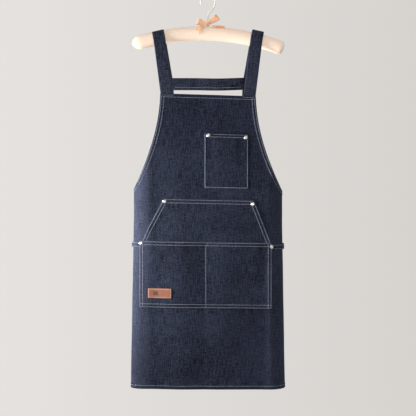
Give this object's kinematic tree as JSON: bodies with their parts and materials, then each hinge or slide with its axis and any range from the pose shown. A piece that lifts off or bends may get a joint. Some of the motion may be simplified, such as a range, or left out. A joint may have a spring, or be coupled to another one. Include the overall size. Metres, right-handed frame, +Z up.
{
  "type": "apron on a padded hanger",
  "caption": "Denim bib apron with wide shoulder straps, a back cross band, patch pockets, rivets and waist ties, hung on an arched padded hanger with a swivelling wire hook.",
  "frame": {"origin": "top of the hook's inside, where the wire rests on its rail", "axes": "+Z up; the apron's front faces -Y; +X is to the right seen from the front"},
  "size_m": [0.397, 0.103, 1.0065],
  "materials": {
    "denim": "dark indigo twill denim with faint slubs",
    "thread": "off-white topstitching thread",
    "satin": "cream satin with a soft sheen",
    "ribbon": "peach satin ribbon",
    "wadding": "white polyester wadding",
    "core_wood": "planed pale beech",
    "wire_coating": "cream plastic coat on steel wire",
    "zinc_steel": "zinc plated",
    "nickel": "bright nickel",
    "leather": "tan leather with a blank blind-stamped border"
  },
  "bodies": {
    "hook": {"hook_wire": "wire_coating", "stem_washer": "zinc_steel", "stem_nut": "zinc_steel"},
    "hanger": {"hanger_core": "core_wood", "hanger_padding": "wadding", "hanger_cover": "satin", "bow_stem_wrap": "ribbon", "bow_knot": "ribbon", "bow_loop_left": "ribbon", "bow_loop_right": "ribbon", "bow_tail_left": "ribbon", "bow_tail_right": "ribbon"},
    "apron": {"apron_body": "denim", "strap_left": "denim", "strap_right": "denim", "back_band": "denim", "chest_pocket": "denim", "hand_pocket": "denim", "lower_pocket": "denim", "leather_label": "leather", "rivet_cap_chest_left": "nickel", "rivet_cap_chest_right": "nickel", "rivet_cap_hand_left": "nickel", "rivet_cap_hand_right": "nickel", "rivet_cap_lower_left": "nickel", "rivet_cap_lower_right": "nickel", "rivet_back_chest_left": "nickel", "rivet_back_chest_right": "nickel", "rivet_back_hand_left": "nickel", "rivet_back_hand_right": "nickel", "rivet_back_lower_left": "nickel", "rivet_back_lower_right": "nickel", "waist_tie_left": "denim", "waist_tie_right": "denim", "tie_knot": "denim", "tie_loop_left": "denim", "tie_loop_right": "denim", "tie_end_left": "denim", "tie_end_right": "denim"}
  },
  "joints": [
    {"name": "hook_swivel", "type": "hinge", "parent": "hook", "child": "hanger", "pos_m": [0, 0, -0.0976], "axis": [0, 0, 1], "continuous": true},
    {"name": "apron_lift", "type": "slide", "parent": "hanger", "child": "apron", "axis": [0, 0, 1], "range_m": [0, 0.05]}
  ]
}
